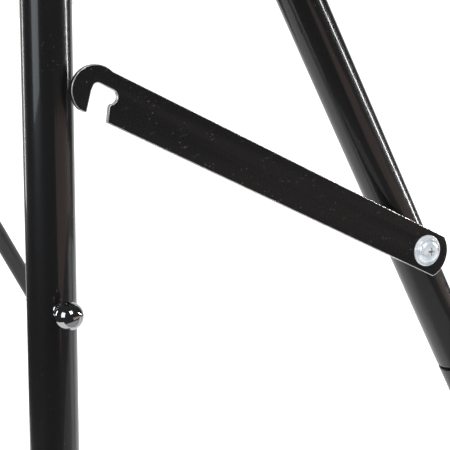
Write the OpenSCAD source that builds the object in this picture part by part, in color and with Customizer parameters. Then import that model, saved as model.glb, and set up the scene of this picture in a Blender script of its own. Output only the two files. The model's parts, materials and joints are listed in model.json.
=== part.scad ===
// Folding sawhorse: an A-frame of round steel tube under a box beam.
// Each end has a flat hook strap that drops over a ball stud to lock the legs open.
// X runs along the beam, +Y to the rear legs, +Z up, origin on the floor under the middle.

/* [Overall] */
// Height of the work surface above the floor
height = 800; // [660:10:960]
// Length of the beam without its end caps
beam_l = 1220; // [860:10:1400]
// Distance from the end of the beam to the middle of a leg
leg_inset = 40; // [26:1:120]
// Lean of each leg from upright, in degrees
leg_angle = 14.3; // [13:0.1:16.5]

/* [Beam] */
// Width of the box beam
beam_w = 70; // [64:1:90]
// Depth of the box beam
beam_h = 40; // [30:1:60]
// Wall of the box beam
beam_t = 2; // [1.5:0.1:4]
// Radius of the beam's long outer corners
beam_r = 4; // [2.5:0.5:8]
// Thickness of the end cap's flange
cap_t = 3; // [2:0.5:6]
// Depth of the end cap's plug inside the beam
cap_plug = 16; // [8:1:30]

/* [Leg tubes] */
// Outer diameter of the leg tubes
tube_d = 25; // [24:0.5:32]
// Wall of the leg tubes
tube_t = 1.5; // [1:0.1:2.5]
// Height of the crossing of the leg axes above the work surface
apex_rise = 30; // [20:1:40]
// Distance between folded leg axes
fold_gap = 52.5; // [51.5:0.1:53.5]
// Distance down the leg from the crossing of the axes to the plug joint
joint_drop = 539; // [520:1:600]
// Length of the swaged plug inside the lower tube
plug_l = 45; // [30:1:70]
// Radius of the rolled shoulder above the plug
shoulder_r = 1.6; // [0.8:0.1:2]
// Open groove between the shoulder and the lower tube
joint_gap = 1.6; // [0.5:0.1:3]
// Diameter of the cross tubes
cross_d = 20; // [14:0.5:22]
// Distance down the leg to the cross tubes
cross_drop = 190; // [180:1:210]

/* [Feet] */
// Rubber round the tube in a foot
foot_wall = 2.9; // [2:0.1:7]
// Length of a foot along its leg
foot_l = 46; // [35:1:70]
// Rubber left under the end of the tube, along the leg
foot_sole = 12; // [10:0.5:20]

/* [Hinge] */
// Thickness of the hinge plates
plate_t = 4; // [3:0.5:6]
// Radius of the hinge plates round the bolt
plate_eye_r = 16; // [12:0.5:17]
// Length of a hinge plate down the leg below the bolt
plate_tail = 58; // [30:1:62]
// Outer diameter of the spacer sleeve on the hinge bolt
sleeve_d = 13; // [11:0.5:18]

/* [Latch] */
// Distance down the rear leg to the strap's pivot
latch_drop = 459; // [455:0.5:463]
// Distance down the front leg to the ball stud
stud_drop = 415.5; // [410:0.5:418]
// Angle of the strap above level, standing on its pivot friction
strap_rest = 39.5; // [36:0.1:45]
// Width of the strap
strap_w = 23.6; // [20:0.1:28]
// Thickness of the strap
strap_t = 3; // [2:0.1:3.4]
// How far the hook end stands out past the strap's edges
hook_bulge = 0.7; // [0:0.1:1.4]
// Distance from the stud's place to the middle of the hook end
hook_shift = 2.2; // [1.5:0.1:4]
// Radius of the round seat in the slot
seat_r = 3.6; // [3.4:0.1:4]
// Distance from the stud's place back to the middle of the seat
seat_shift = 6; // [4:0.1:6.5]
// Radius of the strap's pivot end
pivot_end_r = 15.4; // [14:0.1:18]
// Thickness of the washer between the strap and its tube
spacer_t = 1; // [0.8:0.1:2]
// Diameter of the pivot screw's head
head_d = 18; // [16:0.5:20]
// Height of the pivot screw's head
head_h = 5; // [3.5:0.1:6]
// Diameter of the ball on the stud
ball_d = 14; // [12:0.5:16]
// Gap between the strap and the ball
ball_gap = 1.3; // [1:0.1:3]
// Diameter of the stud's waist, which the slot takes
waist_d = 5; // [4:0.1:5.2]

/* [Fasteners] */
// Diameter of the bolts, studs and pivot screws
bolt_d = 8; // [6:0.1:8.4]
// Size across the flats of nuts and bolt heads
flats = 13; // [12.8:0.1:15]
// Height of a lock nut
nut_h = 8; // [6:0.1:10]
// Height of a bolt head
bolt_head_h = 5.3; // [4:0.1:7]
// Diameter of a washer
washer_d = 16; // [15:0.5:20]
// Thickness of a washer
washer_t = 1.6; // [1:0.1:2.4]
// Length of bolt that stands out of its nut
bolt_out = 2.5; // [1:0.1:6]
// Diameter of the small screws that lock the plug joints
lock_d = 4; // [3:0.1:5]

/* [Hidden] */

$fn = 64;
LEFT = -1;
RIGHT = 1;
FRONT = -1;
REAR = 1;

black = [0.045, 0.045, 0.05];
rubber = [0.09, 0.09, 0.09];
zinc = [0.72, 0.74, 0.78];
chrome = [0.5, 0.5, 0.52];

// Radial clearance of a turning fit
run_gap = 0.05;
// Gap between faces that slide past each other
side_gap = 0.2;
// Gap between a part and the part that it meets at the end of its travel
stop_gap = 0.3;
// Radial clearance of a push fit or a drilled hole
push_gap = 0.1;
big = 2000;

tube_r = tube_d / 2;
tube_in_r = tube_r - tube_t;
plug_r = tube_in_r - push_gap;
beam_bottom = height - beam_h;
apex_z = height + apex_rise;
leg_x = beam_l / 2 - leg_inset;
floor_drop = apex_z / cos(leg_angle);
tube_end = floor_drop - foot_sole;
bolt_r = bolt_d / 2;
foot_r = tube_r + push_gap + foot_wall;

// The hinge axis lies between the legs, the same distance from both of their axes
hinge_side = fold_gap / 2;
hinge_z = apex_z - hinge_side / sin(leg_angle);
hinge_drop = hinge_side / tan(leg_angle);

// The strap reaches from its pivot to the stud, which fixes the place of the slot
latch_y = latch_drop * sin(leg_angle);
latch_z = apex_z - latch_drop * cos(leg_angle);
stud_y = -stud_drop * sin(leg_angle);
stud_z = apex_z - stud_drop * cos(leg_angle);
latch_r = norm([stud_y - latch_y, stud_z - latch_z]);
strap_x = tube_r + spacer_t + side_gap;
head_x = strap_x + strap_t + side_gap;
ball_x = strap_x + strap_t + ball_gap + ball_d / 2;
hook_r = strap_w / 2 + hook_bulge;

// Places children in the frame of one leg: origin where the axes cross, -Z down the leg, +X outwards
module on_leg(side, end) {
    mirror([end < 0 ? 1 : 0, 0, 0])
        translate([leg_x, 0, apex_z])
            rotate([side * leg_angle, 0, 0])
                children();
}

// Places children at one end of the hinge axis, +X outwards
module on_hinge(end) {
    mirror([end < 0 ? 1 : 0, 0, 0])
        translate([leg_x, 0, hinge_z])
            children();
}

// A flat outline in Y and Z made a plate of thickness t, from x outwards
module plate_yz(x, t) {
    translate([x, 0, 0])
        rotate([90, 0, 90])
            linear_extrude(t)
                children();
}

// A round bar along X, from x to x + l
module bar_x(x, l, r) {
    translate([x, 0, 0])
        rotate([0, 90, 0])
            cylinder(h = l, r = r);
}

// A shape turned round the X axis from an outline of [radius, x] points
module turned_x(outline) {
    rotate([0, 90, 0])
        rotate_extrude()
            polygon(outline);
}

module box_outline(w, h, r) {
    square([w - 2 * r, h], center = true);
    square([w, h - 2 * r], center = true);
    for (y = [-1, 1], z = [-1, 1])
        translate([y * (w / 2 - r), z * (h / 2 - r)])
            circle(r);
}

// Beam

module beam() {
    color(black)
        translate([0, 0, height - beam_h / 2])
            difference() {
                plate_yz(-beam_l / 2, beam_l)
                    box_outline(beam_w, beam_h, beam_r);
                plate_yz(-beam_l / 2 - 1, beam_l + 2)
                    box_outline(beam_w - 2 * beam_t, beam_h - 2 * beam_t, beam_r - beam_t);
            }
}

module beam_end_cap(end) {
    inset = 2 * (beam_t + push_gap);
    color(rubber)
        mirror([end < 0 ? 1 : 0, 0, 0])
            translate([beam_l / 2, 0, height - beam_h / 2])
                difference() {
                    union() {
                        plate_yz(0, cap_t)
                            box_outline(beam_w, beam_h, beam_r);
                        plate_yz(-cap_plug, cap_plug)
                            square([beam_w - inset - 2, beam_h - inset - 2], center = true);
                    }
                    plate_yz(-cap_plug - 1, cap_plug)
                        square([beam_w - inset - 8, beam_h - inset - 8], center = true);
                }
}

// Legs

// Upper tube from the crossing of the axes down to its swaged plug
module upper_tube() {
    steps = 6;
    groove_r = tube_r - shoulder_r;
    shoulder = [for (i = [0 : steps])
        [groove_r + shoulder_r * cos(90 * i / steps), -joint_drop - shoulder_r * sin(90 * i / steps)]];
    outline = concat(
        [[tube_in_r, 0], [tube_r, 0]],
        shoulder,
        [[plug_r, -joint_drop - shoulder_r], [plug_r, -joint_drop - plug_l + 1],
         [plug_r - 1, -joint_drop - plug_l], [plug_r - tube_t, -joint_drop - plug_l],
         [plug_r - tube_t, -joint_drop - 2], [tube_in_r, -joint_drop + 2]]
    );
    rotate_extrude()
        polygon(outline);
}

module lock_hole() {
    translate([0, 0, -joint_drop - plug_l / 2])
        bar_x(-big / 2, big / 2, lock_d / 2 + push_gap);
}

module leg(side, end, top_z) {
    cross_hole = side == REAR ? latch_drop : stud_drop;
    color(black)
        difference() {
            on_leg(side, end)
                difference() {
                    upper_tube();
                    translate([0, 0, -cross_hole])
                        bar_x(-big / 2, big, bolt_r + push_gap);
                    lock_hole();
                }
            translate([-big / 2, -big / 2, top_z])
                cube([big, big, big]);
        }
}

module lower_leg(side, end) {
    top = joint_drop + shoulder_r + joint_gap;
    edge = 0.5;
    color(black)
        on_leg(side, end)
            difference() {
                rotate_extrude()
                    polygon([
                        [tube_in_r, -top], [tube_r - edge, -top], [tube_r, -top - edge],
                        [tube_r, -tube_end], [tube_in_r, -tube_end]
                    ]);
                lock_hole();
            }
}

module foot(side, end) {
    color(rubber)
        difference() {
            on_leg(side, end)
                rotate_extrude()
                    polygon([
                        [0, -floor_drop - 2 * foot_r], [foot_r, -floor_drop - 2 * foot_r],
                        [foot_r, -floor_drop + foot_l - 2], [foot_r - 1.5, -floor_drop + foot_l],
                        [tube_r + push_gap, -floor_drop + foot_l],
                        [tube_r + push_gap, -tube_end], [0, -tube_end]
                    ]);
            translate([-big / 2, -big / 2, -big])
                cube([big, big, big]);
        }
}

// A cross tube between the two legs of one frame, its ends fitted round them
module cross_tube(side) {
    color(black)
        difference() {
            translate([0, 0, apex_z])
                rotate([side * leg_angle, 0, 0])
                    translate([0, 0, -cross_drop])
                        difference() {
                            bar_x(-leg_x, 2 * leg_x, cross_d / 2);
                            bar_x(-leg_x - 1, 2 * leg_x + 2, cross_d / 2 - tube_t);
                        }
            for (end = [LEFT, RIGHT])
                on_leg(side, end)
                    translate([0, 0, -cross_drop - cross_d])
                        cylinder(h = 2 * cross_d, r = tube_r);
        }
}

module lock_screw_group(side) {
    color(zinc)
        for (end = [LEFT, RIGHT])
            on_leg(side, end)
                translate([-tube_r, 0, -joint_drop - plug_l / 2])
                    mirror([1, 0, 0])
                        turned_x([
                            [0, -2 * tube_t - 3], [lock_d / 2, -2 * tube_t - 3],
                            [lock_d / 2, 0.25], [lock_d, 0.25], [lock_d, 0.9],
                            [lock_d - 0.9, 2], [lock_d - 2.4, 2.5], [0, 2.5]
                        ]);
}

// Hinge

// A point of the front leg's side view in Y and Z: off is the distance from the axis towards the hinge
function leg_point(drop, off) = [
    off * cos(leg_angle) - drop * sin(leg_angle),
    apex_z - drop * cos(leg_angle) - off * sin(leg_angle)
];

// The round edge of a hinge plate from angle a down to where it runs on to the tail
function eye_arc(a) =
    let (last = -leg_angle - 30, steps = 12)
    [for (i = [0 : steps])
        let (t = a + (last - a) * i / steps)
        [plate_eye_r * cos(t), hinge_z + plate_eye_r * sin(t)]];

plate_half = tube_r - 2;
plate_end = [
    leg_point(hinge_drop + plate_tail, plate_half),
    leg_point(hinge_drop + plate_tail, -plate_half)
];

module front_hinge_plate(end) {
    beam_drop = (apex_z - beam_bottom + plate_half * sin(leg_angle)) / cos(leg_angle);
    color(black)
        mirror([end < 0 ? 1 : 0, 0, 0])
            translate([leg_x, 0, 0])
                difference() {
                    plate_yz(-tube_r - plate_t, plate_t)
                        polygon(concat(
                            [leg_point(beam_drop, -plate_half), [plate_eye_r, beam_bottom]],
                            eye_arc(0), plate_end
                        ));
                    translate([0, 0, hinge_z])
                        bar_x(-tube_d, tube_d, bolt_r + push_gap);
                }
}

module rear_hinge_plate(end) {
    color(black)
        mirror([end < 0 ? 1 : 0, 0, 0])
            translate([leg_x, 0, 0])
                difference() {
                    mirror([0, 1, 0])
                        plate_yz(tube_r, plate_t)
                            polygon(concat(
                                [leg_point(hinge_drop - plate_eye_r, -plate_half)],
                                eye_arc(90 - leg_angle), plate_end
                            ));
                    translate([0, 0, hinge_z])
                        bar_x(0, tube_d, bolt_r + run_gap);
                }
}

module hex_bar(x, l) {
    translate([x, 0, 0])
        rotate([0, 90, 0])
            cylinder(h = l, d = flats / cos(30), $fn = 6);
}

// The stack on the hinge bolt, outwards from the inner face of the front plate
inner_face = -tube_r - plate_t;
outer_face = tube_r + plate_t + stop_gap;

module hinge_bolt(end) {
    under_head = outer_face + washer_t;
    tip = inner_face - washer_t - nut_h - bolt_out;
    color(zinc)
        on_hinge(end) {
            hex_bar(under_head, bolt_head_h);
            turned_x([
                [0, tip], [bolt_r - 1, tip], [bolt_r, tip + 1],
                [bolt_r, under_head + 1], [0, under_head + 1]
            ]);
        }
}

module hinge_sleeve(end) {
    color(zinc)
        on_hinge(end)
            difference() {
                bar_x(-tube_r, tube_d - stop_gap, sleeve_d / 2);
                bar_x(-tube_d, 2 * tube_d, bolt_r + push_gap);
            }
}

module washer(x, t, d) {
    difference() {
        bar_x(x, t, d / 2);
        bar_x(x - 1, t + 2, bolt_r + push_gap);
    }
}

module hinge_washer_group() {
    color(zinc)
        for (end = [LEFT, RIGHT])
            on_hinge(end) {
                washer(outer_face, washer_t, washer_d);
                washer(inner_face - washer_t, washer_t, washer_d);
            }
}

// A lock nut whose seat is at x and whose collar points inwards
module lock_nut(x) {
    collar = nut_h / 4;
    difference() {
        union() {
            hex_bar(x - nut_h + collar, nut_h - collar);
            bar_x(x - nut_h, collar + 0.5, flats / 2 - 0.8);
        }
        bar_x(x - nut_h - 1, nut_h + 2, bolt_r + push_gap / 2);
    }
}

module hinge_lock_nut_group() {
    color(zinc)
        for (end = [LEFT, RIGHT])
            on_hinge(end)
                lock_nut(inner_face - washer_t);
}

// Latch

module on_pivot(end) {
    on_leg(REAR, end)
        translate([0, 0, -latch_drop])
            children();
}

module on_stud(end) {
    on_leg(FRONT, end)
        translate([0, 0, -stud_drop])
            children();
}

module ball_stud(end) {
    waist_r = waist_d / 2;
    ball_r = ball_d / 2;
    neck = asin(waist_r / ball_r);
    steps = 16;
    base = tube_r + spacer_t - side_gap;
    tip = -tube_r - nut_h - bolt_out;
    ball = [for (i = [0 : steps])
        let (a = 180 - neck - (180 - neck) * i / steps)
        [ball_r * sin(a), ball_x + ball_r * cos(a)]];
    color(chrome)
        on_stud(end)
            turned_x(concat(
                [[0, tip], [bolt_r - 1, tip], [bolt_r, tip + 1], [bolt_r, base],
                 [waist_r, base + side_gap / 2]],
                ball
            ));
}

module stud_nut_group() {
    color(zinc)
        for (end = [LEFT, RIGHT])
            on_stud(end)
                lock_nut(-tube_r);
}

module latch_screw(end) {
    tip = -tube_r - nut_h - bolt_out;
    rim = 1.4;
    head_r = head_d / 2;
    steps = 8;
    // Bevelled rim, then a low dome
    dome_h = head_h - rim;
    dome = [for (i = [0 : steps])
        [(head_r - 1.2) * cos(90 * i / steps), head_x + rim + dome_h * sin(90 * i / steps)]];
    color(zinc)
        on_pivot(end)
            turned_x(concat(
                [[0, tip], [bolt_r - 1, tip], [bolt_r, tip + 1], [bolt_r, head_x],
                 [head_r, head_x], [head_r, head_x + rim - 0.5]],
                dome
            ));
}

module latch_spacer_group() {
    color(zinc)
        for (end = [LEFT, RIGHT])
            on_pivot(end)
                washer(tube_r, spacer_t, strap_w - 4);
}

module latch_lock_nut_group() {
    color(zinc)
        for (end = [LEFT, RIGHT])
            on_pivot(end)
                lock_nut(-tube_r);
}

// The slot, with the stud's place at the origin and its mouth towards +v
module slot_outline() {
    mouth_v = hook_r + 2;
    notch_v = 4.4;
    seat_v = -0.25;
    top_r = 2.4;
    top_v = seat_v - seat_r;
    far_u = 4.3;
    // The stud's path bends towards the pivot as it leaves the slot
    tip_v = strap_w / 2;
    tip_u = waist_d / 2 + push_gap - tip_v * tip_v / latch_r / 2;
    polygon([
        [-seat_shift - 4.6, mouth_v], [tip_u, mouth_v], [tip_u, tip_v], [far_u, 1],
        [far_u, top_v + top_r], [far_u - top_r, top_v], [-seat_shift, top_v],
        [-seat_shift, seat_v + seat_r], [-seat_shift - 1.3, notch_v]
    ]);
    translate([-seat_shift, seat_v])
        circle(seat_r);
    translate([far_u - top_r, top_v + top_r])
        circle(top_r);
}

module strap_outline() {
    half = strap_w / 2;
    difference() {
        union() {
            intersection() {
                translate([-0.6, 1.2])
                    circle(pivot_end_r);
                translate([-2 * half, -half])
                    square([2 * half, strap_w]);
            }
            translate([0, -half])
                square([latch_r + hook_shift, strap_w]);
            // The hook end is round, but cut off level with the strap's lower edge
            translate([latch_r + hook_shift, 0])
                difference() {
                    circle(hook_r);
                    translate([-hook_r, half])
                        square([2 * hook_r, hook_r]);
                }
        }
        translate([latch_r, 0])
            slot_outline();
    }
}

module latch_strap(end) {
    color(black)
        mirror([end < 0 ? 1 : 0, 0, 0])
            translate([leg_x, latch_y, latch_z])
                rotate([180 - strap_rest, 0, 0])
                    difference() {
                        plate_yz(strap_x, strap_t)
                            strap_outline();
                        bar_x(0, tube_d * 2, bolt_r + run_gap);
                    }
}

beam();
beam_end_cap(LEFT);  // beam_end_cap_left
beam_end_cap(RIGHT);  // beam_end_cap_right
leg(FRONT, LEFT, beam_bottom);  // front_leg_left
leg(FRONT, RIGHT, beam_bottom);  // front_leg_right
lower_leg(FRONT, LEFT);  // front_lower_leg_left
lower_leg(FRONT, RIGHT);  // front_lower_leg_right
foot(FRONT, LEFT);  // front_foot_left
foot(FRONT, RIGHT);  // front_foot_right
cross_tube(FRONT);  // front_cross_tube
front_hinge_plate(LEFT);  // front_hinge_plate_left
front_hinge_plate(RIGHT);  // front_hinge_plate_right
hinge_bolt(LEFT);  // hinge_bolt_left
hinge_bolt(RIGHT);  // hinge_bolt_right
hinge_sleeve(LEFT);  // hinge_sleeve_left
hinge_sleeve(RIGHT);  // hinge_sleeve_right
hinge_washer_group();  // hinge_washers
hinge_lock_nut_group();  // hinge_lock_nuts
ball_stud(LEFT);  // ball_stud_left
ball_stud(RIGHT);  // ball_stud_right
stud_nut_group();  // stud_nuts
lock_screw_group(FRONT);  // front_lock_screws
leg(REAR, LEFT, beam_bottom - stop_gap);  // rear_leg_left
leg(REAR, RIGHT, beam_bottom - stop_gap);  // rear_leg_right
lower_leg(REAR, LEFT);  // rear_lower_leg_left
lower_leg(REAR, RIGHT);  // rear_lower_leg_right
foot(REAR, LEFT);  // rear_foot_left
foot(REAR, RIGHT);  // rear_foot_right
cross_tube(REAR);  // rear_cross_tube
rear_hinge_plate(LEFT);  // rear_hinge_plate_left
rear_hinge_plate(RIGHT);  // rear_hinge_plate_right
latch_screw(LEFT);  // latch_screw_left
latch_screw(RIGHT);  // latch_screw_right
latch_spacer_group();  // latch_spacers
latch_lock_nut_group();  // latch_lock_nuts
lock_screw_group(REAR);  // rear_lock_screws
latch_strap(LEFT);  // latch_strap_left
latch_strap(RIGHT);  // latch_strap_right
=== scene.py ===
"""Folding sawhorse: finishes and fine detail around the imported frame.

Lengths are in metres. The frame's own directions hold: X along the beam, +Y to the rear legs, Z up.
Pieces for one end are made at the right-hand end (+X) and mirrored for the left.
"""

import json
import math
import random

import bmesh
import bpy
from mathutils import Matrix, Vector


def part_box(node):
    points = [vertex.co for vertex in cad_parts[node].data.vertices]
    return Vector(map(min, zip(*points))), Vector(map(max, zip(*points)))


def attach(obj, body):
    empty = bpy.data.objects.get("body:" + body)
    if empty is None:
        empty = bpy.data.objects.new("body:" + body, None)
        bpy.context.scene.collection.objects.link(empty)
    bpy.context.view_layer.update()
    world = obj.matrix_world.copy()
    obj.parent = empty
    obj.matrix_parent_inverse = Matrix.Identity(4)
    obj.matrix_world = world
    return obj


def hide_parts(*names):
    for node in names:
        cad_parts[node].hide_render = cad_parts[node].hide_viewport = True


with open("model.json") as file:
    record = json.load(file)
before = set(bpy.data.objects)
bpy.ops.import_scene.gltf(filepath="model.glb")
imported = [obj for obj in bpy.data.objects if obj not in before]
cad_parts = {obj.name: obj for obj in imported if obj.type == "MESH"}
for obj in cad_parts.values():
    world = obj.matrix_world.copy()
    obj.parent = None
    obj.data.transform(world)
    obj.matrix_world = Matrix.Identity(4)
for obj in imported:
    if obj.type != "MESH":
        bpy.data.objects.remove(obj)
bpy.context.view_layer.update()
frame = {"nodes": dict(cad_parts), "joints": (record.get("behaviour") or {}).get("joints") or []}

MM = 0.001
JOINTS = {joint["name"]: joint for joint in frame["joints"]}
BOX = {name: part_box(name) for name in frame["nodes"]}

# Sizes of the frame
LEAN = math.radians(14.3)
TUBE_R = 12.5 * MM
TUBE_WALL = 1.5 * MM
APEX_Z = 830 * MM
LEG_X = 570 * MM
CROSS_R = 10 * MM
CROSS_DROP = 190 * MM
JOINT_DROP = 539 * MM
SHOULDER_R = 1.6 * MM
JOINT_GAP = 1.6 * MM
PLUG_LENGTH = 45 * MM
FOOT_R = 15.5 * MM
FOOT_LENGTH = 46 * MM
FOOT_SOLE = 12 * MM
BEAM_RADIUS = 4 * MM
BEAM_WALL = 2 * MM
CAP_FLANGE = 3 * MM
STOP_GAP = 0.3 * MM
FIT = 0.1 * MM

# Sizes of the latch
LATCH_DROP = 459 * MM
STUD_DROP = 415.5 * MM
STRAP_ANGLE = math.radians(180 - 39.5)
STRAP_HALF = 11.8 * MM
STRAP_THICK = 3 * MM
STRAP_X = 13.7 * MM
HOOK_R = 12.5 * MM
HOOK_SHIFT = 2.2 * MM
SEAT_R = 3.6 * MM
SEAT_SHIFT = 6 * MM
PIVOT_END_R = 15.4 * MM
PIVOT_END_AT = (-0.6 * MM, 1.2 * MM)
BOLT_R = 4 * MM
HEAD_R = 9 * MM
HEAD_HEIGHT = 5 * MM
BALL_R = 7 * MM
BALL_X = 25 * MM
WAIST_R = 2.5 * MM
FLATS = 13 * MM
NUT_HEIGHT = 8 * MM
BOLT_OUT = 2.5 * MM

# Sizes of the hinge
PLATE = 4 * MM
WASHER_THICK = 1.6 * MM
HEX_HEAD = 5.3 * MM
HINGE_INNER = -TUBE_R - PLATE
HINGE_OUTER = TUBE_R + PLATE + STOP_GAP

FRONT, REAR = -1, 1
LEFT, RIGHT = -1, 1
ENDS = {"left": LEFT, "right": RIGHT}
BODY = {FRONT: "front_frame", REAR: "rear_frame"}
SIDE_NAME = {FRONT: "front", REAR: "rear"}
FLOOR_DROP = APEX_Z / math.cos(LEAN)
TUBE_END = FLOOR_DROP - FOOT_SOLE
BEAM_UNDER = BOX["beam"][0][2]
HINGE = Vector(JOINTS["fold"]["pos_m"])


# Materials

class Field:
    """A number that changes over a surface, so that patterns read as plain arithmetic."""

    def __init__(self, finish, socket):
        self.finish = finish
        self.socket = socket

    def maths(self, operation, *values):
        return self.finish.node("ShaderNodeMath", {"operation": operation}, dict(enumerate(values)))

    def __add__(self, other):
        return self.maths("ADD", self, other)

    def __radd__(self, other):
        return self.maths("ADD", other, self)

    def __rsub__(self, other):
        return self.maths("SUBTRACT", other, self)

    def __mul__(self, other):
        return self.maths("MULTIPLY", self, other)

    def over(self, edge, width):
        """0 below edge, 1 above edge + width, with a soft step between."""
        return self.finish.node(
            "ShaderNodeMapRange", {"interpolation_type": "SMOOTHSTEP"},
            {"Value": self, "From Min": edge, "From Max": edge + width})


class Finish:
    """One material: a Principled shader and the nodes that vary it."""

    def __init__(self, name, colour, roughness, metallic=0.0):
        self.material = bpy.data.materials.new(name)
        self.material.use_nodes = True
        self.tree = self.material.node_tree
        self.shader = self.tree.nodes["Principled BSDF"]
        self.hold("Base Color", (*colour, 1))
        self.hold("Roughness", roughness)
        self.hold("Metallic", metallic)
        self.place = self.node("ShaderNodeTexCoord", {}, {}, "Object")

    def hold(self, socket, value):
        """Gives a socket of the shader a constant."""
        self.shader.inputs[socket].default_value = value

    def node(self, kind, settings, values, output=0):
        made = self.tree.nodes.new(kind)
        for name, value in settings.items():
            setattr(made, name, value)
        for name, value in values.items():
            if isinstance(value, Field):
                self.tree.links.new(value.socket, made.inputs[name])
            else:
                made.inputs[name].default_value = value
        return Field(self, made.outputs[output])

    def stretched(self, scale):
        return self.node("ShaderNodeMapping", {}, {"Vector": self.place, "Scale": scale})

    def noise(self, scale, detail=3.0, place=None, rough=0.5):
        return self.node(
            "ShaderNodeTexNoise", {},
            {"Vector": place or self.place, "Scale": scale, "Detail": detail, "Roughness": rough}, "Fac")

    def specks(self, scale, size):
        """1 in small spots whose size is a share of their spacing, 0 elsewhere."""
        distance = self.node(
            "ShaderNodeTexVoronoi", {}, {"Vector": self.place, "Scale": scale}, "Distance")
        return 1 - distance.over(size, size * 0.6)

    def mix(self, amount, colour_a, colour_b):
        factor, first, second, blend = 0, 6, 7, 2
        return self.node("ShaderNodeMix", {"data_type": "RGBA"}, {
            factor: amount,
            first: (*colour_a, 1),
            second: (*colour_b, 1),
        }, blend)

    def drive(self, socket, field):
        """Lets a field set a socket of the shader."""
        self.tree.links.new(field.socket, self.shader.inputs[socket])

    def bump(self, height, distance):
        """Raises the surface by a field times a distance in metres."""
        self.drive("Normal", self.node(
            "ShaderNodeBump", {}, {"Height": height, "Distance": distance, "Strength": 1.0}))


def gloss_black():
    """Glossy black enamel on tube: a faint orange peel, a little dust, and slow changes of gloss."""
    colour = (0.006, 0.006, 0.0065)
    finish = Finish("gloss_black", colour, 0.16)
    finish.hold("Specular IOR Level", 0.3)
    finish.hold("Coat Weight", 0.5)
    finish.hold("Coat Roughness", 0.05)
    dust = finish.specks(420, 0.07) * finish.noise(60, 2).over(0.52, 0.1)
    cloud = finish.noise(14, 4)
    finish.drive("Base Color", finish.mix(dust * 0.35, colour, (0.22, 0.21, 0.2)))
    finish.drive("Roughness", 0.22 + cloud * 0.16 + dust * 0.3)
    peel = finish.noise(900, 2) * 0.6 + finish.noise(260, 2) * 0.8
    finish.bump(peel, 0.000005)
    return finish.material


def strap_black():
    """Satin black on stamped strip, with dust specks, short scuffs and rubbed high spots."""
    colour = (0.0075, 0.0075, 0.0080)
    finish = Finish("strap_black", colour, 0.3)
    finish.hold("Specular IOR Level", 0.16)
    dust = finish.specks(520, 0.10) * finish.noise(90, 2).over(0.5, 0.12)
    scuffs = finish.noise(240, 5, finish.stretched((1, 0.35, 1.6)), 0.7).over(0.62, 0.08)
    grain = finish.noise(1500, 3)
    finish.drive("Base Color", finish.mix(
        dust * 0.5 + scuffs * 0.07 + grain * 0.008, colour, (0.25, 0.24, 0.235)))
    finish.drive("Roughness", 0.24 + grain * 0.08 + scuffs * 0.18)
    finish.bump(grain * 0.5 + finish.noise(300, 3), 0.00002)
    return finish.material


def zinc_plate():
    """Bright blue-white zinc with fine spangle and slightly duller patches."""
    colour = (0.80, 0.86, 0.91)
    finish = Finish("zinc_plate", colour, 0.26, 0.5)
    patches = finish.noise(220, 4)
    finish.drive("Base Color", finish.mix(patches.over(0.45, 0.25), colour, (0.62, 0.69, 0.75)))
    finish.drive("Roughness", 0.18 + patches * 0.16)
    finish.bump(finish.noise(1400, 3), 0.000012)
    return finish.material


def polished_stud():
    """Polished bright steel with hairline turning marks round its axis and a few handling marks."""
    colour = (0.37, 0.37, 0.385)
    finish = Finish("polished_stud", colour, 0.04, 1.0)
    marks = finish.noise(900, 3, finish.stretched((6, 0.3, 0.3)))
    smears = finish.noise(130, 3)
    finish.drive("Base Color", finish.mix(smears.over(0.5, 0.3), colour, (0.31, 0.31, 0.32)))
    finish.drive("Roughness", 0.03 + smears * 0.04 + marks * 0.02)
    finish.bump(marks, 0.000002)
    return finish.material


def foot_rubber():
    """Matt black rubber, dusty in its pores and greyer where it scuffs the floor."""
    colour = (0.018, 0.018, 0.018)
    finish = Finish("foot_rubber", colour, 0.75)
    pores = finish.noise(1100, 4)
    height = finish.node("ShaderNodeSeparateXYZ", {}, {"Vector": finish.place}, "Z")
    scuffed = (1 - height.over(0.0, 0.012)) * finish.noise(160, 4).over(0.42, 0.2)
    dust = finish.noise(240, 5).over(0.5, 0.3)
    finish.drive("Base Color", finish.mix(
        dust * 0.10 + scuffed * 0.3, colour, (0.17, 0.165, 0.155)))
    finish.drive("Roughness", 0.62 + pores * 0.25)
    finish.bump(pores, 0.00008)
    return finish.material


def cap_plastic():
    """Black moulded plastic with a fine spark-eroded grain."""
    colour = (0.016, 0.016, 0.017)
    finish = Finish("cap_plastic", colour, 0.45)
    grain = finish.noise(1700, 2)
    scuffs = finish.noise(120, 5, finish.stretched((1, 0.3, 2))).over(0.62, 0.1)
    finish.drive("Base Color", finish.mix(scuffs * 0.12 + grain * 0.03, colour, (0.2, 0.2, 0.2)))
    finish.drive("Roughness", 0.38 + grain * 0.2)
    finish.bump(grain, 0.00004)
    return finish.material


def weld_black():
    """The same enamel over a weld, where it sits thicker and catches spatter."""
    colour = (0.008, 0.008, 0.0085)
    finish = Finish("weld_black", colour, 0.22)
    lumps = finish.noise(700, 3)
    finish.drive("Roughness", 0.16 + lumps * 0.14)
    finish.drive("Base Color", finish.mix(lumps.over(0.6, 0.2) * 0.2, colour, (0.05, 0.05, 0.05)))
    finish.bump(lumps, 0.0001)
    return finish.material


def nylon_ring():
    """The pale locking ring of a lock nut."""
    colour = (0.62, 0.66, 0.66)
    finish = Finish("nylon_ring", colour, 0.4)
    cloud = finish.noise(500, 3)
    finish.drive("Base Color", finish.mix(cloud, colour, (0.5, 0.54, 0.56)))
    finish.drive("Roughness", 0.35 + cloud * 0.15)
    finish.bump(cloud, 0.00002)
    return finish.material


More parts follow.
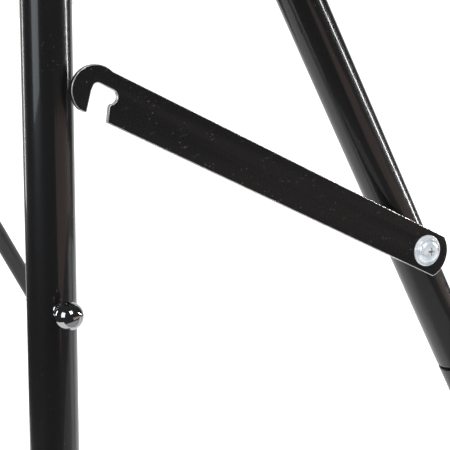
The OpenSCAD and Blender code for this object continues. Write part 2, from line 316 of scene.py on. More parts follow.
def painted_edge_highlight():
    """Bright steel colour on the strap's rounded edges and slot walls: a painted highlight, dulled a
    little in patches.
    """
    # The bright colour stands in for the highlight along the rounded edges; it is painted highlight, not
    # bare steel.
    colour = (0.76, 0.76, 0.76)
    finish = Finish("painted_edge_highlight", colour, 0.34, 0.9)
    patches = finish.noise(420, 4).over(0.40, 0.18)
    finish.drive("Base Color", finish.mix(patches * 0.2, colour, (0.06, 0.06, 0.06)))
    finish.drive("Roughness", 0.28 + patches * 0.15)
    finish.bump(finish.noise(900, 3), 0.000005)
    return finish.material


GLOSS = gloss_black()
EDGE = painted_edge_highlight()
STRAP = strap_black()
ZINC = zinc_plate()
STUD = polished_stud()
RUBBER = foot_rubber()
PLASTIC = cap_plastic()
WELD = weld_black()
NYLON = nylon_ring()


# Shapes

def arc(centre_r, centre_z, radius, start, stop, steps=8):
    """Points of a round stretch of an outline, its angles in degrees."""
    points = []
    for i in range(steps + 1):
        angle = math.radians(start + (stop - start) * i / steps)
        points.append((centre_r + radius * math.cos(angle), centre_z + radius * math.sin(angle)))
    return points


def turned(outline, closed=False, segments=96):
    """A mesh spun round Z from an outline of (radius, z) points."""
    mesh = bmesh.new()
    corners = [mesh.verts.new((radius, 0, z)) for radius, z in outline]
    pairs = list(zip(corners, corners[1:]))
    if closed:
        pairs.append((corners[-1], corners[0]))
    edges = [mesh.edges.new(pair) for pair in pairs]
    bmesh.ops.spin(
        mesh, geom=corners + edges, cent=(0, 0, 0), axis=(0, 0, 1),
        angle=math.tau, steps=segments, use_merge=True)
    bmesh.ops.remove_doubles(mesh, verts=mesh.verts, dist=1e-7)
    bmesh.ops.recalc_face_normals(mesh, faces=mesh.faces)
    return mesh


def extruded(outline, thickness, holes=()):
    """A plate in Y and Z, from X = 0 to its thickness, with round or other holes."""
    mesh = bmesh.new()
    for loop in (outline, *holes):
        corners = [mesh.verts.new((0, y, z)) for y, z in loop]
        for first, second in zip(corners, corners[1:] + corners[:1]):
            mesh.edges.new((first, second))
    bmesh.ops.triangle_fill(mesh, use_beauty=True, use_dissolve=False, edges=mesh.edges)
    grown = bmesh.ops.extrude_face_region(mesh, geom=mesh.faces[:])
    lifted = [part for part in grown["geom"] if isinstance(part, bmesh.types.BMVert)]
    bmesh.ops.translate(mesh, vec=(thickness, 0, 0), verts=lifted)
    bmesh.ops.dissolve_limit(
        mesh, angle_limit=math.radians(0.5), verts=mesh.verts,
        edges=[edge for edge in mesh.edges if is_flat(edge)])
    bmesh.ops.recalc_face_normals(mesh, faces=mesh.faces)
    return mesh


def is_flat(edge):
    return len(edge.link_faces) == 2 and edge.calc_face_angle(1) < math.radians(0.5)


def rim_edges(mesh, x):
    """The edges of a plate's outline and holes on the face at x."""
    return [
        edge for edge in mesh.edges
        if all(abs(vert.co.x - x) < 1e-7 for vert in edge.verts) and edge.calc_face_angle(0) > 0.5
    ]


def round_edges(mesh, edges, width, segments=3):
    """Rounds edges, and gives back the faces of the rounding."""
    return bmesh.ops.bevel(
        mesh, geom=edges, offset=width, offset_type="OFFSET", segments=segments,
        profile=0.5, affect="EDGES", material=-1, clamp_overlap=True)["faces"]


def along_x():
    """Turns a shape made round Z so that its axis is X."""
    return Matrix.Rotation(math.radians(90), 4, "Y")


def inwards():
    """Turns a shape made up Z so that it points towards the middle of the beam."""
    return Matrix.Rotation(math.radians(-90), 4, "Y")


def shifted(x):
    return Matrix.Translation((x, 0, 0))


def leg_place(side):
    """From a leg's own frame, -Z down the leg, to the right-hand end of the object."""
    return Matrix.Translation((LEG_X, 0, APEX_Z)) @ Matrix.Rotation(side * LEAN, 4, "X")


def down_leg(side, drop):
    return leg_place(side) @ Matrix.Translation((0, 0, -drop))


def at_hinge():
    return Matrix.Translation((LEG_X, HINGE.y, HINGE.z))


def placed(mesh, matrix):
    bmesh.ops.transform(mesh, matrix=matrix, verts=mesh.verts)
    return mesh


def cut_level(mesh, height, keep_above, ring=False):
    """Cuts a placed mesh at a level plane and closes the cut."""
    cut = bmesh.ops.bisect_plane(
        mesh, geom=mesh.verts[:] + mesh.edges[:] + mesh.faces[:], dist=1e-7,
        plane_co=(0, 0, height), plane_no=(0, 0, 1),
        clear_inner=keep_above, clear_outer=not keep_above)
    edges = [part for part in cut["geom_cut"] if isinstance(part, bmesh.types.BMEdge)]
    if ring:
        bmesh.ops.bridge_loops(mesh, edges=edges)
    else:
        bmesh.ops.holes_fill(mesh, edges=edges)
    return edges


def joined(*meshes):
    """One mesh from several closed shapes."""
    whole = bmesh.new()
    for mesh in meshes:
        data = bpy.data.meshes.new("part")
        mesh.to_mesh(data)
        mesh.free()
        whole.from_mesh(data)
        bpy.data.meshes.remove(data)
    return whole


def finished(name, mesh, material, body, replaces=(), place=Matrix(), end=RIGHT, sharp=35, more=()):
    """Puts a shape in its place, mirrors it for the left end, and makes it a piece of the object."""
    flip = Matrix.Diagonal((end, 1, 1, 1))
    bmesh.ops.transform(mesh, matrix=flip @ place, verts=mesh.verts)
    if end == LEFT:
        bmesh.ops.reverse_faces(mesh, faces=mesh.faces)
    data = bpy.data.meshes.new(name)
    mesh.to_mesh(data)
    mesh.free()
    data.shade_smooth()
    data.set_sharp_from_angle(angle=math.radians(sharp))
    for each in (material, *more):
        data.materials.append(each)
    piece = bpy.data.objects.new(name, data)
    bpy.context.scene.collection.objects.link(piece)
    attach(piece, body)
    if replaces:
        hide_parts(*replaces)
    return piece


# Legs

def upper_tube():
    """Tube down to its rolled shoulder and swaged plug, in the leg's frame."""
    inner = TUBE_R - TUBE_WALL
    plug = inner - FIT
    plug_end = -JOINT_DROP - PLUG_LENGTH
    taper = 2 * MM
    outline = [(inner, 0), (TUBE_R, 0)]
    outline += arc(TUBE_R - SHOULDER_R, -JOINT_DROP, SHOULDER_R, 0, -90, 10)
    outline += [
        (plug, -JOINT_DROP - SHOULDER_R), (plug, plug_end + MM),
        (plug - MM, plug_end), (plug - TUBE_WALL, plug_end),
        (plug - TUBE_WALL, -JOINT_DROP - taper), (inner, -JOINT_DROP + taper),
    ]
    return turned(outline, closed=True, segments=128)


def lower_tube():
    inner = TUBE_R - TUBE_WALL
    top = -JOINT_DROP - SHOULDER_R - JOINT_GAP
    lip = 0.6 * MM
    outline = [(inner, top)]
    outline += arc(TUBE_R - lip, top - lip, lip, 90, 0, 5)
    outline += [(TUBE_R, -TUBE_END), (inner, -TUBE_END)]
    return turned(outline, closed=True, segments=128)


def rubber_foot():
    """A ribbed foot, its bore closed under the tube."""
    top = -FLOOR_DROP + FOOT_LENGTH
    bore = TUBE_R + FIT
    past_floor = -FLOOR_DROP - 2 * FOOT_R
    outline = [(0, past_floor), (FOOT_R, past_floor)]
    ribs = 4
    pitch = 4.5 * MM
    groove_r = FOOT_R - 1.0 * MM
    first = top - 6 * MM - ribs * pitch
    for i in range(ribs):
        low = first + i * pitch
        outline += [
            (FOOT_R, low), (groove_r, low + 0.7 * MM),
            (groove_r, low + 1.7 * MM), (FOOT_R, low + 2.4 * MM),
        ]
    shoulder = 1.5 * MM
    lead_in = 0.4 * MM
    outline += arc(FOOT_R - shoulder, top - shoulder, shoulder, 0, 90, 6)
    outline += [(bore + lead_in, top), (bore, top - lead_in), (bore, -TUBE_END), (0, -TUBE_END)]
    return turned(outline, segments=96)


def make_leg(side, end_name, end):
    name = SIDE_NAME[side]
    body = BODY[side]
    place = leg_place(side)

    upper = placed(upper_tube(), place)
    gap = STOP_GAP if side == REAR else 0
    cut_level(upper, BEAM_UNDER - gap, keep_above=False, ring=True)
    piece = finished(f"{name}_leg_tube_{end_name}", upper, GLOSS, body,
                     [f"{name}_leg_{end_name}"], end=end)

    piece = finished(f"{name}_lower_tube_{end_name}", lower_tube(), GLOSS, body,
                     [f"{name}_lower_leg_{end_name}"], place, end)

    foot = placed(rubber_foot(), place)
    sole = cut_level(foot, 0, keep_above=True)
    round_edges(foot, sole, 0.8 * MM, 3)
    piece = finished(f"{name}_rubber_foot_{end_name}", foot, RUBBER, body,
                     [f"{name}_foot_{end_name}"], end=end)


# Beam

def box_outline(width, height, radius, steps=8):
    points = []
    for i, (y, z) in enumerate(((1, 1), (-1, 1), (-1, -1), (1, -1))):
        points += arc(y * (width / 2 - radius), z * (height / 2 - radius), radius,
                      90 * i, 90 * i + 90, steps)
    return points


def make_beam():
    low, high = (Vector(corner) for corner in BOX["beam"])
    size = high - low
    middle = (low + high) / 2
    bore = box_outline(size.y - 2 * BEAM_WALL, size.z - 2 * BEAM_WALL, BEAM_RADIUS - BEAM_WALL)
    mesh = extruded(box_outline(size.y, size.z, BEAM_RADIUS), size.x, [bore])
    place = Matrix.Translation((low.x, middle.y, middle.z))
    piece = finished("box_beam", mesh, GLOSS, "front_frame", ["beam"], place)


def make_end_cap(end_name, end):
    low, high = (Vector(corner) for corner in BOX["beam"])
    size = high - low
    flange = extruded(box_outline(size.y, size.z, BEAM_RADIUS), CAP_FLANGE)
    round_edges(flange, rim_edges(flange, CAP_FLANGE), 1.2 * MM, 4)
    outer = [face for face in flange.faces if face.normal.x > 0.999 and face.calc_area() > 1e-4]
    bmesh.ops.inset_region(flange, faces=outer, thickness=5 * MM, depth=0)
    bmesh.ops.inset_region(flange, faces=outer, thickness=0.6 * MM, depth=-0.8 * MM)
    cap_low, cap_high = BOX[f"beam_end_cap_{end_name}"]
    depth = cap_high[0] - cap_low[0] - CAP_FLANGE
    narrower = 2 * BEAM_WALL + 2.2 * MM
    plug = extruded(box_outline(size.y - narrower, size.z - narrower, 2 * MM, 4), depth)
    round_edges(plug, rim_edges(plug, 0), 1 * MM, 2)
    bmesh.ops.translate(plug, vec=(-depth, 0, 0), verts=plug.verts)
    whole = joined(flange, plug)
    place = Matrix.Translation((size.x / 2, 0, (low.z + high.z) / 2))
    piece = finished(f"beam_plug_{end_name}", whole, PLASTIC, "front_frame",
                     [f"beam_end_cap_{end_name}"], place, end)


# Latch

def round_hole(y, z, radius, steps=48):
    return [(y + radius * math.cos(math.tau * i / steps), z + radius * math.sin(math.tau * i / steps))
            for i in range(steps)]


def strap_outline(reach):
    """The strap from pivot (at the origin) to hook, along +Y, with the mouth of its slot towards +Z."""
    seat_z = -0.25 * MM
    notch_z = 4.4 * MM
    corner = 2.4 * MM
    blunt = 0.5 * MM
    top_z = seat_z - SEAT_R
    far = reach + 4.3 * MM
    tip = reach + WAIST_R + FIT - STRAP_HALF ** 2 / reach / 2
    hook = reach + HOOK_SHIFT
    seat = reach - SEAT_SHIFT
    notch = (seat - 1.3 * MM, notch_z)
    wall_slope = 3.3 * MM / (HOOK_R + 2 * MM - notch_z)
    end_y, end_z = PIVOT_END_AT
    end_low = math.degrees(math.asin((STRAP_HALF - end_z) / PIVOT_END_R))
    end_high = math.degrees(math.asin((STRAP_HALF + end_z) / PIVOT_END_R))
    flat = math.degrees(math.asin(STRAP_HALF / HOOK_R))
    hook_top = math.degrees(math.acos(STRAP_HALF / HOOK_R))

    points = arc(end_y, end_z, PIVOT_END_R, 180 - end_low, 180 + end_high, 24)
    points += arc(hook, 0, HOOK_R, -90 - hook_top, flat, 48)
    points += arc(tip + blunt, STRAP_HALF - blunt, blunt, 90, 170, 3)
    points += [(far, 1 * MM)]
    points += arc(far - corner, top_z + corner, corner, 0, -90, 8)
    points += arc(seat, seat_z, SEAT_R, -90, -245, 18)
    points += [notch, (notch[0] - wall_slope * (STRAP_HALF - notch_z), STRAP_HALF)]
    return points


def make_strap(end_name, end):
    pivot = Vector(JOINTS[f"latch_{end_name}"]["pos_m"])
    stud = down_leg(FRONT, STUD_DROP).translation
    reach = math.hypot(stud.y - pivot.y, stud.z - pivot.z)
    mesh = extruded(strap_outline(reach), STRAP_THICK, [round_hole(0, 0, BOLT_R + FIT / 2)])
    # The faces of the rounded front rim take the second material, the painted edge highlight.
    edge_highlight_faces = round_edges(mesh, rim_edges(mesh, STRAP_THICK), 0.55 * MM, 4)
    round_edges(mesh, rim_edges(mesh, 0), 0.25 * MM, 2)
    for face in edge_highlight_faces:
        face.material_index = 1
    # The walls inside the hook's slot also take the painted edge highlight.
    slot_y = (reach - 11 * MM, reach + 4.6 * MM)
    slot_z = (-4.2 * MM, STRAP_HALF - 0.1 * MM)
    for face in mesh.faces:
        middle = face.calc_center_median()
        in_slot = slot_y[0] < middle.y < slot_y[1] and slot_z[0] < middle.z < slot_z[1]
        if in_slot and abs(face.normal.x) < 0.5:
            face.material_index = 1
    place = (Matrix.Translation((LEG_X + STRAP_X, pivot.y, pivot.z))
             @ Matrix.Rotation(STRAP_ANGLE, 4, "X"))
    # EDGE is the painted edge highlight material.
    piece = finished(f"hook_strap_{end_name}", mesh, STRAP, f"latch_{end_name}",
                     [f"latch_strap_{end_name}"], place, end, sharp=50, more=[EDGE])


def thread(tip_z, run, radius):
    """Outline of a threaded shank from its tip up, as closely set grooves."""
    pitch = 1.25 * MM
    depth = 0.45 * MM
    lead_in = 1 * MM
    points = [(0, tip_z), (radius - lead_in, tip_z), (radius - depth, tip_z + 0.6 * MM)]
    turns = int((run - lead_in) / pitch)
    for i in range(turns):
        low = tip_z + lead_in + i * pitch
        points += [(radius - depth, low), (radius, low + pitch * 0.45), (radius, low + pitch * 0.6)]
    points.append((radius, tip_z + run))
    return points


def cross_recess(width, depth, at_z):
    """A tapered cross, to be cut into a screw head from above."""
    arms = []
    for turn in (0, 90):
        arm = bmesh.new()
        bmesh.ops.create_cube(arm, size=1)
        bmesh.ops.scale(arm, vec=(width, width * 0.2, depth * 2), verts=arm.verts)
        low = [vert for vert in arm.verts if vert.co.z < 0]
        bmesh.ops.scale(arm, vec=(0.36, 0.62, 1), verts=low)
        bmesh.ops.rotate(arm, cent=(0, 0, 0), matrix=Matrix.Rotation(math.radians(turn), 3, "Z"),
                         verts=arm.verts)
        bmesh.ops.translate(arm, vec=(0, 0, at_z), verts=arm.verts)
        arms.append(arm)
    return arms


def combined(mesh, others, operation):
    """One mesh after an exact boolean with each of the others."""
    scene = bpy.context.scene
    used = []
    for shape in (mesh, *others):
        data = bpy.data.meshes.new("blank")
        shape.to_mesh(data)
        shape.free()
        made = bpy.data.objects.new("blank", data)
        scene.collection.objects.link(made)
        used.append(made)
    blank, *tools = used
    for tool in tools:
        boolean = blank.modifiers.new("boolean", "BOOLEAN")
        boolean.operation = operation
        boolean.solver = "EXACT"
        boolean.object = tool
    result = bmesh.new()
    result.from_object(blank, bpy.context.evaluated_depsgraph_get())
    for made in used:
        data = made.data
        bpy.data.objects.remove(made)
        bpy.data.meshes.remove(data)
    return result


def make_latch_screw(end_name, end):
    head_z = STRAP_X + STRAP_THICK + 0.2 * MM
    tip = -TUBE_R - NUT_HEIGHT - BOLT_OUT
    chamfer = 0.3 * MM
    round_r = 0.5 * MM
    rim_z = head_z + 1.3 * MM
    dome_r = 7.0 * MM
    dome_z = rim_z + 0.45 * MM
    top = head_z + HEAD_HEIGHT
    outline = thread(tip, 20 * MM, BOLT_R)
    outline += [(BOLT_R, head_z), (HEAD_R - chamfer, head_z), (HEAD_R, head_z + chamfer)]
    outline += arc(HEAD_R - round_r, rim_z - round_r, round_r, 0, 90, 5)
    outline += arc(dome_r + round_r, dome_z, round_r, 270, 180, 4)
    steps = 12
    for i in range(1, steps + 1):
        angle = math.radians(90 * i / steps)
        height = (top - dome_z) * (1 - math.sin(angle))
        outline.append((dome_r * math.cos(angle) ** 0.75, top - height))
    head = turned(outline, segments=96)
    head = combined(head, cross_recess(7.2 * MM, 3.2 * MM, top), "DIFFERENCE")
    recess_turn = Matrix.Rotation(math.radians(-28.5), 4, "X")
    place = down_leg(REAR, LATCH_DROP) @ recess_turn @ along_x()
    piece = finished(f"pivot_screw_{end_name}", head, ZINC, "rear_frame",
                     [f"latch_screw_{end_name}"], place, end, sharp=40)


def make_ball_stud(end_name, end):
    base = TUBE_R + 0.8 * MM
    tip = -TUBE_R - NUT_HEIGHT - BOLT_OUT
    neck = math.degrees(math.asin(WAIST_R / BALL_R))
    outline = thread(tip, 10 * MM, BOLT_R)
    chamfer = 0.4 * MM
    fillet = 0.5 * MM
    outline += [(BOLT_R, base - chamfer), (BOLT_R - chamfer, base)]
    outline += arc(WAIST_R + fillet, base + fillet, fillet, 270, 180, 4)
    outline += arc(0, BALL_X, BALL_R, -90 + neck, 90, 40)
    mesh = turned(outline, segments=128)
    place = down_leg(FRONT, STUD_DROP) @ along_x()
    piece = finished(f"ball_catch_{end_name}", mesh, STUD, "front_frame",
                     [f"ball_stud_{end_name}"], place, end, sharp=30)


# Fasteners

def hex_prism(height, chamfer_top, chamfer_low):
    """A hexagon nut blank from z = 0 up, its corners turned off at the ends that are chamfered."""
    corner = FLATS / math.sqrt(3)
    flat = FLATS / 2
    blank = bmesh.new()
    bmesh.ops.create_cone(
        blank, cap_ends=True, segments=6, radius1=corner, radius2=corner, depth=height)
    bmesh.ops.translate(blank, vec=(0, 0, height / 2), verts=blank.verts)
    drop = (corner - flat) * 0.6
    past = corner + 0.2 * MM
    clear = corner * 1.2
    keep = [(0, height)]
    keep += [(flat, height), (past, height - drop)] if chamfer_top else [(clear, height)]
    keep += [(past, drop), (flat, 0)] if chamfer_low else [(clear, 0)]
    keep += [(0, 0)]
    return combined(blank, [turned(keep, segments=96)], "INTERSECT")


def lock_nut():
    """A nut seated at z = 0 that rises to its collar; the nylon ring takes the second material."""
    collar = NUT_HEIGHT / 4
    bore = BOLT_R + FIT / 2
    drill = turned([(0, -MM), (bore, -MM), (bore, NUT_HEIGHT), (0, NUT_HEIGHT)], segments=48)
    body = combined(hex_prism(NUT_HEIGHT - collar, False, True), [drill], "DIFFERENCE")
    rim = FLATS / 2 - 0.8 * MM
    round_r = 1.2 * MM
    dome = [(rim, NUT_HEIGHT - collar)]
    dome += arc(rim - round_r, NUT_HEIGHT - round_r, round_r, 0, 90, 6)
    crown_bore = BOLT_R + 0.9 * MM
    dome += [(crown_bore, NUT_HEIGHT), (crown_bore, NUT_HEIGHT - collar)]
    crown = turned(dome, closed=True, segments=64)
    ring_inner = BOLT_R + FIT
    ring_outer = crown_bore - 0.05 * MM
    ring_top = NUT_HEIGHT - 0.3 * MM
    ring = turned([
        (ring_outer, ring_top), (ring_inner, ring_top),
        (ring_inner, NUT_HEIGHT - collar), (ring_outer, NUT_HEIGHT - collar)],
        closed=True, segments=64)
    for face in ring.faces:
        face.material_index = 1
    return joined(body, crown, ring)


def washer(inner, outer, thick):
    edge = 0.2 * MM
    return turned([
        (inner, 0), (outer - edge, 0), (outer, edge), (outer, thick - edge), (outer - edge, thick),
        (inner, thick)], closed=True, segments=72)


def both_ends(name, make, material, body, replaces, more=()):
    """One piece from a right-hand set and its mirror image."""
    right = make()
    left = placed(make(), Matrix.Diagonal((-1, 1, 1, 1)))
    bmesh.ops.reverse_faces(left, faces=left.faces)
    piece = finished(name, joined(right, left), material, body, replaces, more=more)


def make_hinge_bolt(end_name, end):
    under = HINGE_OUTER + WASHER_THICK
    tip = HINGE_INNER - WASHER_THICK - NUT_HEIGHT - BOLT_OUT
    shank = turned(thread(tip, 18 * MM, BOLT_R) + [(BOLT_R, under), (0, under)], segments=72)
    head = placed(hex_prism(HEX_HEAD, True, False), Matrix.Translation((0, 0, under)))
    piece = finished(f"hinge_pin_{end_name}", joined(shank, head), ZINC, "front_frame",
                     [f"hinge_bolt_{end_name}"], at_hinge() @ along_x(), end, sharp=25)
    sleeve = washer(BOLT_R + FIT, 6.5 * MM, 2 * TUBE_R - STOP_GAP)
    piece = finished(f"hinge_spacer_{end_name}", sleeve, ZINC, "front_frame",
                     [f"hinge_sleeve_{end_name}"], at_hinge() @ shifted(-TUBE_R) @ along_x(), end)


def make_fastener_groups():
    hole = BOLT_R + FIT

    def hinge_washer(x):
        return placed(washer(hole, 8 * MM, WASHER_THICK), at_hinge() @ shifted(x) @ along_x())

    def hinge_washers():
        return joined(hinge_washer(HINGE_OUTER), hinge_washer(HINGE_INNER - WASHER_THICK))

    def pivot_washer():
        place = down_leg(REAR, LATCH_DROP) @ shifted(TUBE_R) @ along_x()
        return placed(washer(hole, STRAP_HALF - 2 * MM, 1 * MM), place)

    def nut_at(place, x):
        return lambda: placed(lock_nut(), place @ shifted(x) @ inwards())

    both_ends("hinge_washer_set", hinge_washers, ZINC, "front_frame", ["hinge_washers"])
    both_ends("hinge_nut_set", nut_at(at_hinge(), HINGE_INNER - WASHER_THICK), ZINC, "front_frame",
              ["hinge_lock_nuts"], [NYLON])
    both_ends("stud_nut_set", nut_at(down_leg(FRONT, STUD_DROP), -TUBE_R), ZINC, "front_frame",
              ["stud_nuts"], [NYLON])
    both_ends("pivot_nut_set", nut_at(down_leg(REAR, LATCH_DROP), -TUBE_R), ZINC, "rear_frame",
              ["latch_lock_nuts"], [NYLON])
    both_ends("pivot_washer_set", pivot_washer, ZINC, "rear_frame", ["latch_spacers"])


def lock_screw():
    """A small pan-head screw, its head above z = 0."""
    shank_r = 2 * MM
    head_r = 4 * MM
    round_r = 1.4 * MM
    seat = 0.25 * MM
    top = 2.5 * MM
    outline = thread(-6 * MM, 5.6 * MM, shank_r) + [(shank_r, seat), (head_r, seat)]
    outline += arc(head_r - round_r, top - round_r, round_r, 0, 90, 8) + [(0, top)]
    recess = cross_recess(4 * MM, 1.5 * MM, top)
    return combined(turned(outline, segments=48), recess, "DIFFERENCE")


def make_lock_screws():
    for side, name in SIDE_NAME.items():
        place = down_leg(side, JOINT_DROP + PLUG_LENGTH / 2) @ shifted(-TUBE_R) @ inwards()
        both_ends(f"{name}_plug_screws", lambda at=place: placed(lock_screw(), at), ZINC, BODY[side],
                  [f"{name}_lock_screws"])


# Hinge plates, cross tubes and welds

def make_cross_tube(side):
    name = SIDE_NAME[side]
    length = 2 * LEG_X
    inner = CROSS_R - TUBE_WALL
    bar = turned([(inner, 0), (CROSS_R, 0), (CROSS_R, length), (inner, length)], closed=True, segments=72)
    place = down_leg(side, CROSS_DROP)
    bar = placed(bar, place @ shifted(-length) @ along_x())
    cutters = []
    reach = 30 * MM
    for end in (RIGHT, LEFT):
        round_bar = turned([(0, -reach), (TUBE_R, -reach), (TUBE_R, reach), (0, reach)], segments=128)
        cutters.append(placed(round_bar, Matrix.Diagonal((end, 1, 1, 1)) @ place))
    bmesh.ops.reverse_faces(cutters[1], faces=cutters[1].faces)
    coped = combined(bar, cutters, "DIFFERENCE")
    inside = [face for face in coped.faces if abs(face.calc_center_median().x) > LEG_X]
    bmesh.ops.delete(coped, geom=inside, context="FACES")
    piece = finished(f"{name}_cross_bar", coped, GLOSS, BODY[side], [f"{name}_cross_tube"])


def bead(points, closed, radius, seed):
    """A weld bead along a line of points: a tube whose radius swells and shrinks along its length."""
    rng = random.Random(seed)
    count = len(points)
    ripple, ripple_steps, waver = 0.09, 5, 0.06
    mesh = bmesh.new()
    rings = []
    for i, point in enumerate(points):
        before = points[i - 1] if closed or i else points[i]
        after = points[(i + 1) % count] if closed or i < count - 1 else points[i]
        turn = (after - before).to_track_quat("Z", "Y").to_matrix().to_4x4()
        wave = ripple * math.sin(i * math.tau / ripple_steps)
        size = radius * (0.93 + wave + waver * rng.random())
        made = bmesh.ops.create_circle(
            mesh, segments=10, radius=size, cap_ends=not closed and i in (0, count - 1),
            matrix=Matrix.Translation(point) @ turn)
        rings.append(ring_edges(made["verts"]))
    pairs = list(zip(rings, rings[1:]))
    if closed:
        pairs.append((rings[-1], rings[0]))
    for first, second in pairs:
        bmesh.ops.bridge_loops(mesh, edges=first + second)
    bmesh.ops.recalc_face_normals(mesh, faces=mesh.faces)
    return mesh


def ring_edges(verts):
    """The edges that join one circle's own points."""
    own = set(verts)
    return [edge for edge in {edge for vert in verts for edge in vert.link_edges}
            if all(vert in own for vert in edge.verts)]


def cope_line(side, steps=110):
    """The line where a cross tube meets its leg, at the right-hand end."""
    place = down_leg(side, CROSS_DROP)
    wider = 1.06
    points = []
    for i in range(steps):
        angle = math.tau * i / steps
        y = CROSS_R * math.cos(angle)
        z = CROSS_R * math.sin(angle)
        x = -math.sqrt(TUBE_R ** 2 - y ** 2) - 0.2 * MM
        points.append(place @ Vector((x, y * wider, z * wider)))
    return points


def straight(start, stop, step=0.55 * MM):
    start, stop = Vector(start), Vector(stop)
    count = max(2, int((stop - start).length / step))
    return [start.lerp(stop, i / count) for i in range(count + 1)]


def tube_top_line(steps=120):
    """The line where a front leg meets the underside of the beam."""
    out = 0.6 * MM
    place = leg_place(FRONT)
    axis = place.to_3x3() @ Vector((0, 0, 1))
    points = []
    for i in range(steps):
        angle = math.tau * i / steps
        at = place @ Vector((TUBE_R * math.cos(angle), TUBE_R * math.sin(angle), 0))
        at += axis * ((BEAM_UNDER - out - at.z) / axis.z)
        points.append(at + Vector((out * math.cos(angle), out * math.sin(angle), 0)))
    return points


def make_welds():
    """Beads round each cross tube, along the hinge plates and under the beam, at both ends."""
    tail = 58 * MM
    spread = 5.2 * MM
    cope_radius = 1.7 * MM
    hinge_drop = (APEX_Z - HINGE.z) * math.cos(LEAN)
    for side, name in SIDE_NAME.items():
        place = leg_place(side)
        x = TUBE_R if side == REAR else -TUBE_R
        low, high = -hinge_drop - tail + 4 * MM, -hinge_drop + 10 * MM

        def set_of_beads(side=side, place=place, x=x, low=low, high=high):
            beads = [bead(cope_line(side), True, cope_radius, 3)]
            for y in (-spread, spread):
                line = straight((x * 0.93, y, low), (x * 0.93, y, high))
                beads.append(bead([place @ at for at in line], False, 1.5 * MM, 7))
            if side == FRONT:
                beads.append(bead(tube_top_line(), True, cope_radius, 5))
            return joined(*beads)

        both_ends(f"{name}_welds", set_of_beads, WELD, BODY[side], [])


# Stage

VIEW_TURN = -25.2
TARGET = Vector((LEG_X, 0, 0.45))
SHELL_R = 1.0
PANEL_AWAY = 0.93
LAMP_AWAY = 2.6
CAMERA_AT = Vector((1.1057, -0.2512, 0.6027))
CAMERA_ANGLES = (25.16, -15.75, 12.8)
FOCAL_LENGTH = 92.1


def light_paths(tree):
    """The camera, glossy and transmission outputs of a Light Path node."""
    rays = tree.nodes.new("ShaderNodeLightPath")
    return [rays.outputs[f"Is {kind} Ray"] for kind in ("Camera", "Glossy", "Transmission")]


def make_floor():
    """A white floor that keeps the shadow, a little lifted for the lens and for reflections."""
    mesh = bmesh.new()
    bmesh.ops.create_grid(mesh, x_segments=1, y_segments=1, size=8)
    data = bpy.data.meshes.new("studio_floor")
    mesh.to_mesh(data)
    mesh.free()
    floor = bpy.data.objects.new("studio_floor", data)
    bpy.context.scene.collection.objects.link(floor)
    paper = Finish("studio_paper", (0.88, 0.88, 0.88), 0.9)
    camera, glossy, through = (Field(paper, socket) for socket in light_paths(paper.tree))
    lit = Field(paper, paper.shader.outputs[0])
    for seen, strength in ((camera, 0.72), (glossy.maths("MAXIMUM", glossy, through), 0.25)):
        glow = paper.node("ShaderNodeEmission", {}, {"Color": (1, 1, 1, 1), "Strength": strength})
        raised = paper.node("ShaderNodeAddShader", {}, {0: glow, 1: lit})
        lit = paper.node("ShaderNodeMixShader", {}, {0: seen, 1: lit, 2: raised})
    paper.tree.links.new(lit.socket, paper.tree.nodes["Material Output"].inputs["Surface"])
    data.materials.append(paper.material)


def make_room():
    """A white room for the lens and for reflections, and an even soft light for the rest."""
    world = bpy.data.worlds.new("studio_room")
    bpy.context.scene.world = world
    world.use_nodes = True
    tree = world.node_tree
    seen = None
    for socket in light_paths(tree):
        either = tree.nodes.new("ShaderNodeMath")
        either.operation = "MAXIMUM"
        tree.links.new(socket, either.inputs[0])
        if seen:
            tree.links.new(seen, either.inputs[1])
        seen = either.outputs[0]
    soft = tree.nodes["Background"]
    soft.inputs["Color"].default_value = (1, 1, 1, 1)
    soft.inputs["Strength"].default_value = 0.5
    bright = tree.nodes.new("ShaderNodeBackground")
    bright.inputs["Color"].default_value = (1, 1, 1, 1)
    bright.inputs["Strength"].default_value = 1.0
    chosen = tree.nodes.new("ShaderNodeMixShader")
    tree.links.new(seen, chosen.inputs[0])
    tree.links.new(soft.outputs[0], chosen.inputs[1])
    tree.links.new(bright.outputs[0], chosen.inputs[2])
    tree.links.new(chosen.outputs[0], tree.nodes["World Output"].inputs["Surface"])


def reflected_only(name, mesh, radiance, colour):
    """A studio surface that shows only in reflections, and lights nothing."""
    data = bpy.data.meshes.new(name)
    mesh.to_mesh(data)
    mesh.free()
    surface = bpy.data.objects.new(name, data)
    bpy.context.scene.collection.objects.link(surface)
    finish = Finish(name, colour, 1.0)
    finish.hold("Base Color", (0, 0, 0, 1))
    finish.hold("Specular IOR Level", 0)
    finish.hold("Emission Color", (*colour, 1))
    finish.hold("Emission Strength", radiance)
    data.materials.append(finish.material)
    surface.visible_camera = False
    surface.visible_diffuse = False
    surface.visible_shadow = False
    surface.visible_transmission = False


def direction(turn, rise):
    """A direction from the latch: turn to the right of the lens, and rise above level, in degrees."""
    across = math.radians(VIEW_TURN + turn)
    up = math.radians(rise)
    return Vector((math.cos(up) * math.cos(across), math.cos(up) * math.sin(across), math.sin(up)))


def reflected_patch(name, keep, radiance, colour=(1, 1, 1), radius=SHELL_R):
    """The part of a sphere round the latch where keep(turn, rise) holds, seen only in reflections."""
    mesh = bmesh.new()
    bmesh.ops.create_uvsphere(mesh, u_segments=144, v_segments=72, radius=radius)
    outside = []
    for face in mesh.faces:
        middle = face.calc_center_median()
        turn = (math.degrees(math.atan2(middle.y, middle.x)) - VIEW_TURN + 180) % 360 - 180
        rise = math.degrees(math.asin(middle.z / middle.length))
        if not keep(turn, rise):
            outside.append(face)
    bmesh.ops.delete(mesh, geom=outside, context="FACES")
    just_above_floor = 3 * MM - TARGET.z
    for vert in mesh.verts:
        if vert.co.z < just_above_floor:
            vert.co *= just_above_floor / vert.co.z
    bmesh.ops.translate(mesh, vec=TARGET, verts=mesh.verts)
    reflected_only(name, mesh, radiance, colour)


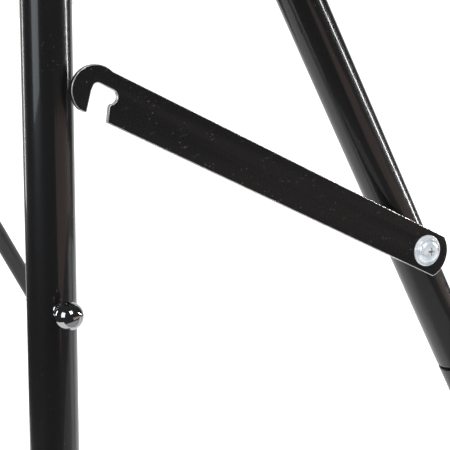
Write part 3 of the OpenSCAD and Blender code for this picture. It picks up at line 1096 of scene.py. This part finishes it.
def light_panel(name, turn, rise, width, height, radiance, colour=(1, 1, 1)):
    """A flat light in a direction from the latch, seen only in reflections."""
    centre = TARGET + direction(turn, rise) * PANEL_AWAY
    mesh = bmesh.new()
    bmesh.ops.create_grid(mesh, x_segments=1, y_segments=1, size=0.5)
    facing = (TARGET - centre).to_track_quat("Z", "Y").to_matrix().to_4x4()
    place = Matrix.Translation(centre) @ facing @ Matrix.Diagonal((width, height, 1, 1))
    reflected_only(name, placed(mesh, place), radiance, colour)


def softbox(name, turn, rise, size, power):
    """A lamp for the matt finishes; the panels stand for it in reflections."""
    lamp = bpy.data.lights.new(name, "AREA")
    lamp.shape = "SQUARE"
    lamp.size = size
    lamp.energy = power
    box = bpy.data.objects.new(name, lamp)
    centre = TARGET + direction(turn, rise) * LAMP_AWAY
    box.location = centre
    box.rotation_euler = (TARGET - centre).to_track_quat("-Z", "Y").to_euler()
    box.visible_glossy = False
    bpy.context.scene.collection.objects.link(box)


def make_stage():
    """Floor, room, what the paint and the bright parts reflect, and the lamps. Angles are in degrees."""
    make_floor()
    make_room()
    near_left, near_right = -47, 84
    dark_radiance = 0.05

    def dark_side(turn, rise):
        lowest = -19 if turn < near_left else -27
        return rise > 32 or abs(turn) < 140 and rise > lowest

    def dark_floor(turn, rise):
        return near_left < turn < near_right and -34 < rise <= -27

    def grey_floor(turn, rise):
        return near_left < turn < near_right and rise <= -34

    def warm_board(turn, rise):
        return 28 < turn < 112 and -26 < rise < -4.7 - 0.2 * (turn - 28)

    def leaning_strip(turn, rise):
        return abs(turn - 97 + (rise + 2)) < 2.6 and -16 < rise < 5

    reflected_patch("studio_dark_side", dark_side, dark_radiance)
    reflected_patch("dark_floor", dark_floor, dark_radiance)
    reflected_patch("floor_near_lens", grey_floor, 0.6)
    reflected_patch("warm_board", warm_board, 0.75, (1.0, 0.76, 0.66), 0.96)
    reflected_patch("right_edge_strip", leaning_strip, 30, radius=0.94)
    light_panel("left_softbox_face", -46, 27, 0.47, 0.52, 3.2, (0.86, 0.94, 1.0))
    light_panel("right_softbox_face", 28, 38, 0.34, 0.40, 6.0)
    light_panel("left_edge_strip", -119, 9, 0.10, 0.30, 9.0)
    softbox("left_softbox", -48, 35, 1.2, 35)
    softbox("right_softbox", 40, 45, 1.0, 25)


def make_camera():
    """A long lens close to the right-hand latch, turned with the lean of the front leg."""
    yaw, pitch, roll = (math.radians(angle) for angle in CAMERA_ANGLES)
    look = Vector((-math.cos(pitch) * math.cos(yaw), math.cos(pitch) * math.sin(yaw), math.sin(pitch)))
    level = Vector((math.sin(yaw), math.cos(yaw), 0))
    down = look.cross(level)
    right = level * math.cos(roll) + down * math.sin(roll)
    up = right.cross(look)
    lens = bpy.data.cameras.new("close_view")
    lens.sensor_width = 36
    lens.lens = FOCAL_LENGTH
    lens.clip_end = 30
    camera = bpy.data.objects.new("close_view", lens)
    turn = Matrix((right, up, -look)).transposed().to_4x4()
    camera.matrix_world = Matrix.Translation(CAMERA_AT) @ turn
    bpy.context.scene.collection.objects.link(camera)
    bpy.context.scene.camera = camera


make_camera()
make_stage()
bpy.context.scene.view_settings.view_transform = "Standard"

for end_name, end in ENDS.items():
    for side in (FRONT, REAR):
        make_leg(side, end_name, end)
    make_end_cap(end_name, end)
    make_strap(end_name, end)
    make_latch_screw(end_name, end)
    make_ball_stud(end_name, end)
    make_hinge_bolt(end_name, end)
    for side in (FRONT, REAR):
        plate = frame["nodes"][f"{SIDE_NAME[side]}_hinge_plate_{end_name}"]
        plate.data.materials.clear()
        plate.data.materials.append(GLOSS)
for side in (FRONT, REAR):
    make_cross_tube(side)
make_beam()
make_fastener_groups()
make_lock_screws()
make_welds()
